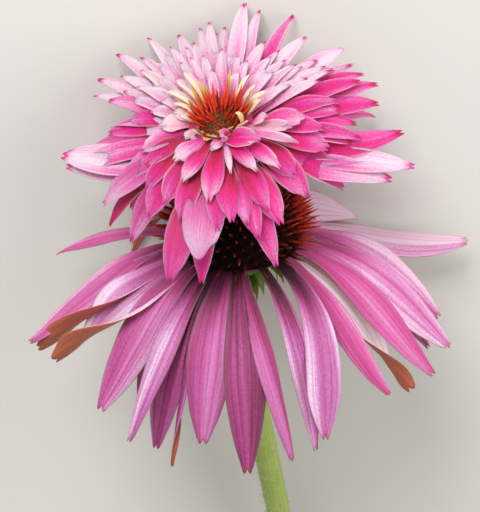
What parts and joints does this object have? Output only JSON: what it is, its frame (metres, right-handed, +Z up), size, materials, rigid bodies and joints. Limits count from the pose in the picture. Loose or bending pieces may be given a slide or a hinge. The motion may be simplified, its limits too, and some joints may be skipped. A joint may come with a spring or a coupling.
{
  "type": "purple coneflower flowering stem",
  "caption": "Cut coneflower stem lying down: drooping toothed rays round a bristly cone, topped by a second double bloom, with narrow toothed leaves.",
  "frame": {"origin": "middle of the bounding box's base, on the surface that the cut stem lies on", "axes": "+Z up from the surface; +Y along the stem, from its cut end to the bloom; +X to the bloom's right, seen from above with the bloom at the top"},
  "size_m": [0.1159, 0.26, 0.0761],
  "materials": {
    "stem": "matte green stem with fine ribs and short bristles",
    "leaf": "rough dark green leaf, sunken veins",
    "involucre": "green hairy bracts",
    "lower_ray": "soft mauve-pink petal with lengthwise furrows",
    "cone": "near-black brown with stiff dark red bristles",
    "upper_petal": "satin pink petal, magenta base and pale edge",
    "disc": "red and orange spikes",
    "floret": "cream and yellow florets"
  },
  "bodies": {
    "root": {"stem": "stem", "leaf_upper": "leaf", "leaf_middle": "leaf", "leaf_lower": "leaf", "involucre": "involucre", "lower_rays": "lower_ray", "cone": "cone", "upper_rays": "upper_petal", "disc": "disc", "disc_florets": "floret"}
  },
  "joints": []
}
